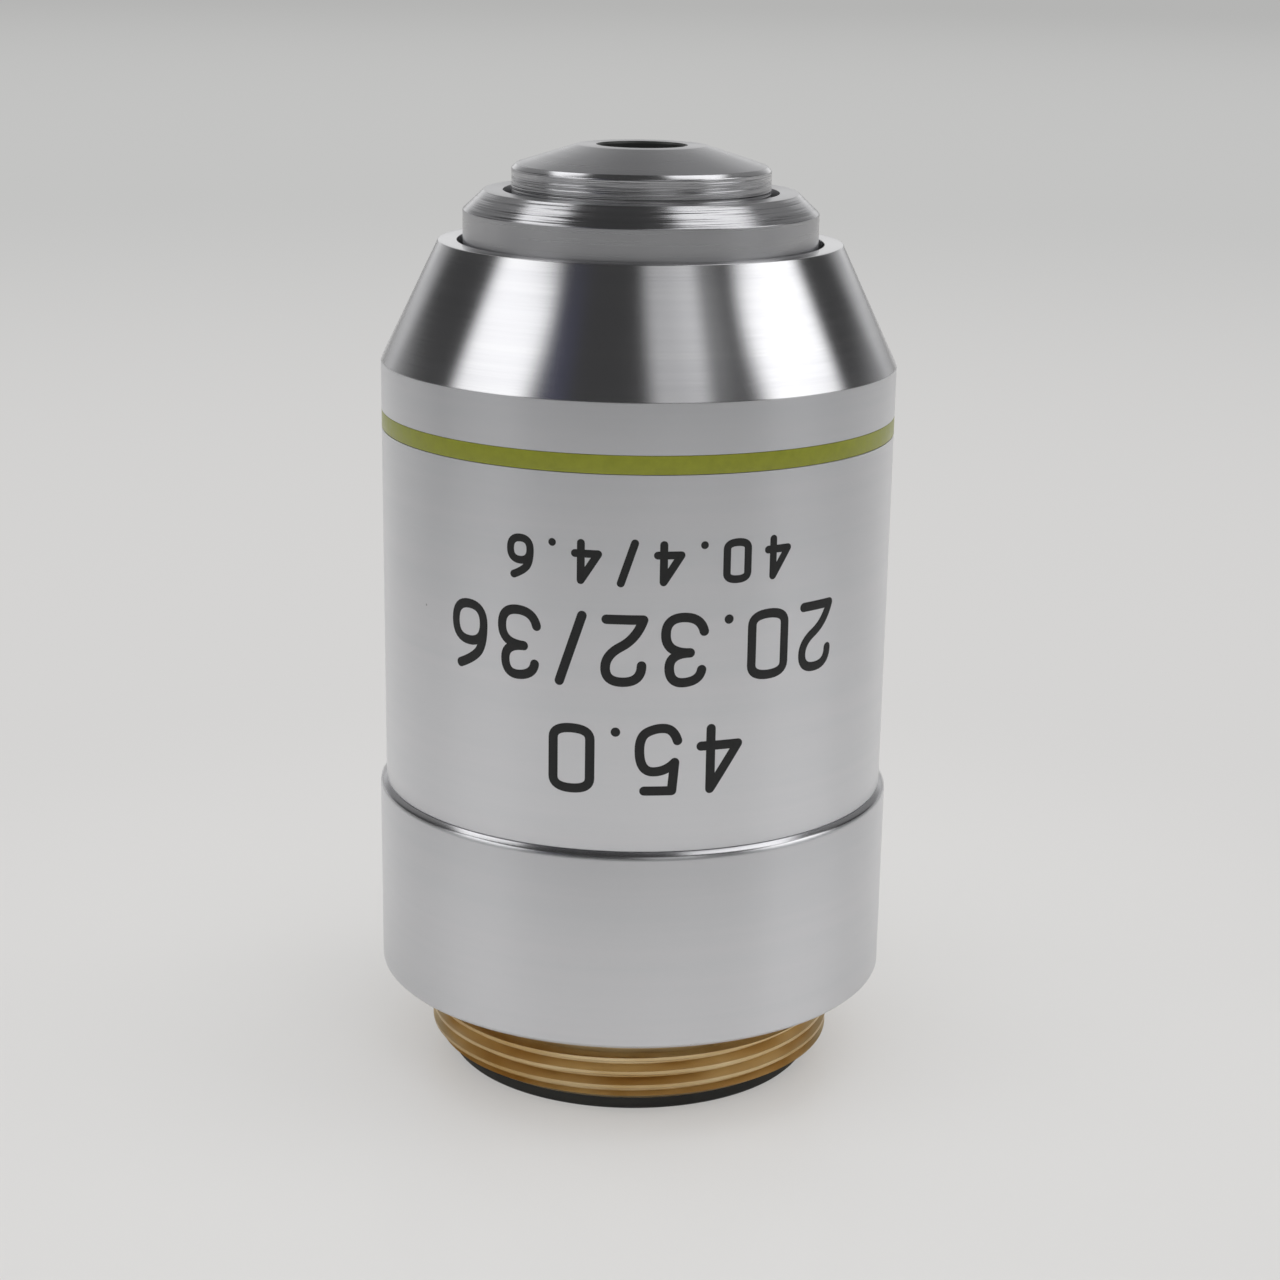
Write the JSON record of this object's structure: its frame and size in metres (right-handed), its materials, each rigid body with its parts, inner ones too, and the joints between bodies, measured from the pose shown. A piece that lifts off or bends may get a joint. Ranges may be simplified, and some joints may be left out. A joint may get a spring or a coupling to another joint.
{
  "type": "microscope objective",
  "caption": "Microscope objective: plated barrel with a sprung stepped nose, colour band, grip collar and threaded rear nipple, lenses in cells inside.",
  "frame": {"origin": "on the optical axis, in the plane of the rear ring's lower face that the objective stands on", "axes": "+Z along the optical axis from the thread to the front lens; +Y towards the guide screw, away from the side that the picture shows"},
  "size_m": [0.0252, 0.0252, 0.0451],
  "materials": {
    "plated_brass": "satin chrome plate on turned brass, polished on the cone, the thread left bare",
    "blackened_brass": "matt black oxide on turned brass",
    "yellow_enamel": "baked enamel filled into a groove",
    "spring_steel": "drawn steel wire and turned steel",
    "crown_glass": "polished and coated crown glass",
    "flint_glass": "polished flint glass"
  },
  "bodies": {
    "mount": {"base_collar": "plated_brass", "rear_ring": "blackened_brass", "outer_sleeve": "plated_brass", "colour_band": "yellow_enamel", "spring_washer": "spring_steel", "retract_spring": "spring_steel", "guide_screw": "spring_steel"},
    "nose": {"lens_barrel": "plated_brass", "front_cell": "plated_brass", "front_lens": "crown_glass", "front_lens_ring": "blackened_brass", "middle_cell": "blackened_brass", "middle_lens": "crown_glass", "middle_lens_ring": "blackened_brass", "front_spacer": "blackened_brass", "front_doublet_cell": "blackened_brass", "front_doublet_crown": "crown_glass", "front_doublet_flint": "flint_glass", "front_doublet_ring": "blackened_brass", "aperture_stop": "blackened_brass", "rear_spacer": "blackened_brass", "rear_doublet_cell": "blackened_brass", "rear_doublet_crown": "crown_glass", "rear_doublet_flint": "flint_glass", "rear_doublet_ring": "blackened_brass", "stack_ring": "blackened_brass"}
  },
  "joints": [
    {"name": "nose_retract", "type": "slide", "parent": "mount", "child": "nose", "axis": [0, 0, -1], "range_m": [0, 0.002], "stiffness_N_per_m": 94, "springref_m": -0.0128, "deforming": ["retract_spring"]}
  ]
}
